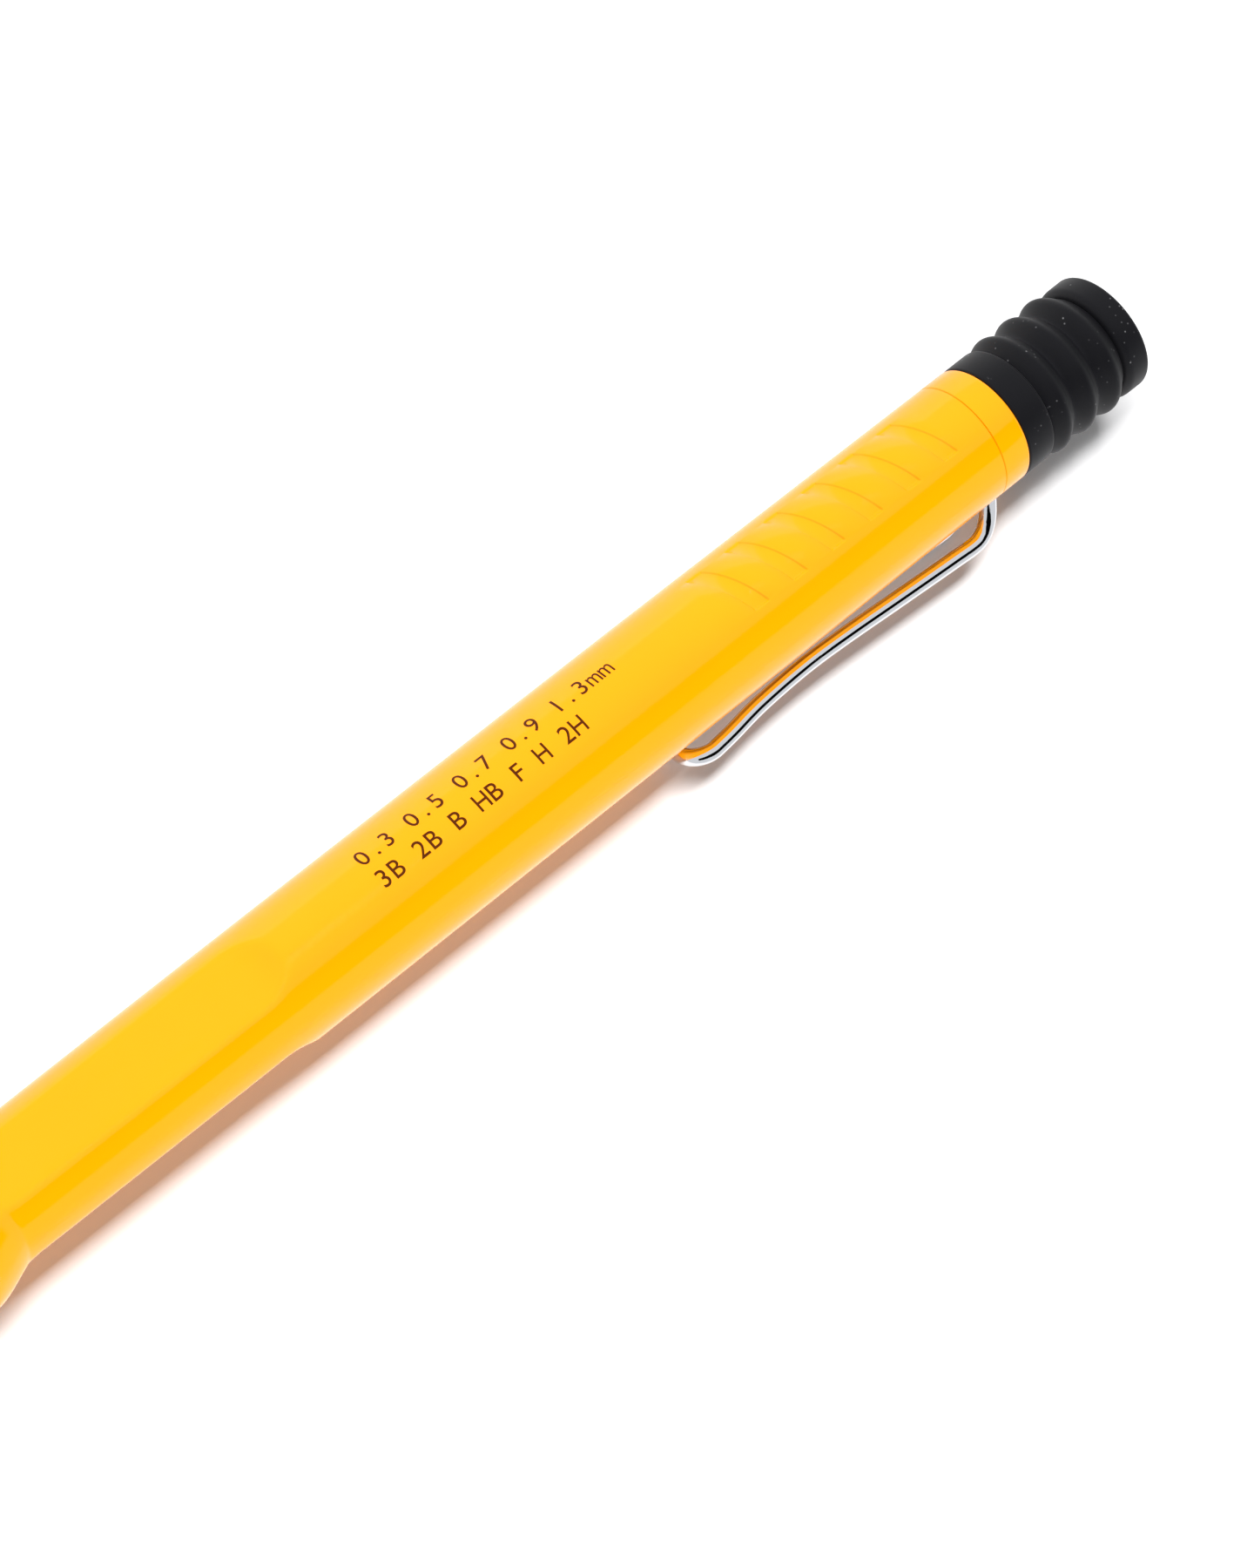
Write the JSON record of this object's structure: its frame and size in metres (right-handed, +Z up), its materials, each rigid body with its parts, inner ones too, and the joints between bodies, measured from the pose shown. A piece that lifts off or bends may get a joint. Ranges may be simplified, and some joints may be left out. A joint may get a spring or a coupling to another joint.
{
  "type": "mechanical pencil",
  "caption": "Push-button mechanical pencil: round moulded barrel with grip flats, bent wire clip and a rubber bellows button that advances the lead.",
  "frame": {"origin": "middle of the pencil's length and width, on the surface it lies on", "axes": "+X along the barrel from the lead point to the button, +Z up, the clip low on the -Y side"},
  "size_m": [0.1506, 0.0157, 0.013],
  "materials": {
    "barrel_plastic": "moulded, polished",
    "clip_chrome": "polished wire",
    "button_rubber": "matt",
    "satin_nickel": "satin plated",
    "sleeve_steel": "drawn",
    "mechanism_plastic": "moulded",
    "chuck_brass": "turned",
    "tube_plastic": "extruded",
    "core_plastic": "moulded",
    "graphite": "drawn",
    "eraser_rubber": "matt"
  },
  "bodies": {
    "casing": {"barrel": "barrel_plastic", "end_collar": "barrel_plastic", "nose_cone": "satin_nickel", "lead_sleeve": "sleeve_steel", "lead_retainer": "button_rubber", "mechanism_housing": "mechanism_plastic", "return_spring": "sleeve_steel", "button_band": "button_rubber", "button_bellows": "button_rubber"},
    "clip": {"clip": "clip_chrome"},
    "plunger": {"chuck_body": "chuck_brass", "lead_tube": "tube_plastic", "spare_leads": "graphite", "cleaning_needle": "sleeve_steel", "eraser_holder": "satin_nickel", "eraser": "eraser_rubber", "button_core": "core_plastic", "button_cap": "button_rubber"},
    "jaw_1": {"chuck_jaw_1": "chuck_brass"},
    "jaw_2": {"chuck_jaw_2": "chuck_brass"},
    "jaw_3": {"chuck_jaw_3": "chuck_brass"},
    "clutch_ring": {"chuck_ring": "chuck_brass"},
    "lead": {"writing_lead": "graphite"}
  },
  "joints": [
    {"name": "button_press", "type": "slide", "parent": "casing", "child": "plunger", "axis": [-1, 0, 0], "range_m": [0, 0.0032], "stiffness_N_per_m": 600, "springref_m": -0.003, "deforming": ["return_spring", "button_bellows"]},
    {"name": "jaw_1_open", "type": "hinge", "parent": "plunger", "child": "jaw_1", "pos_m": [-0.0433, 0.00101, 0.00573], "axis": [0, -0.3965, 0.918], "range_deg": [0, 1.2]},
    {"name": "jaw_2_open", "type": "hinge", "parent": "plunger", "child": "jaw_2", "pos_m": [-0.0433, 0.00239, 0.00557], "axis": [0, -0.5968, -0.8024], "range_deg": [0, 1.2]},
    {"name": "jaw_3_open", "type": "hinge", "parent": "plunger", "child": "jaw_3", "pos_m": [-0.0433, 0.00184, 0.00684], "axis": [0, 0.9933, -0.1157], "range_deg": [0, 1.2]},
    {"name": "ring_shift", "type": "slide", "parent": "casing", "child": "clutch_ring", "axis": [-1, 0, 0], "range_m": [0, 0.0007]},
    {"name": "lead_advance", "type": "slide", "parent": "casing", "child": "lead", "axis": [-1, 0, 0], "range_m": [0, 0.0006]},
    {"name": "clip_flex", "type": "hinge", "parent": "casing", "child": "clip", "pos_m": [0.0569, -0.00302, 0.00399], "axis": [0, -0.3965, 0.918], "range_deg": [0, 6], "stiffness_Nm_per_rad": 0.3, "springref_deg": -1.72}
  ],
  "couplings": [
    {"joint": "ring_shift", "follows": "button_press", "ratio": 0.218},
    {"joint": "lead_advance", "follows": "button_press", "ratio": 0.187},
    {"joint": "jaw_1_open", "follows": "button_press", "rad_per_m": 6.54},
    {"joint": "jaw_2_open", "follows": "button_press", "rad_per_m": 6.54},
    {"joint": "jaw_3_open", "follows": "button_press", "rad_per_m": 6.54}
  ]
}
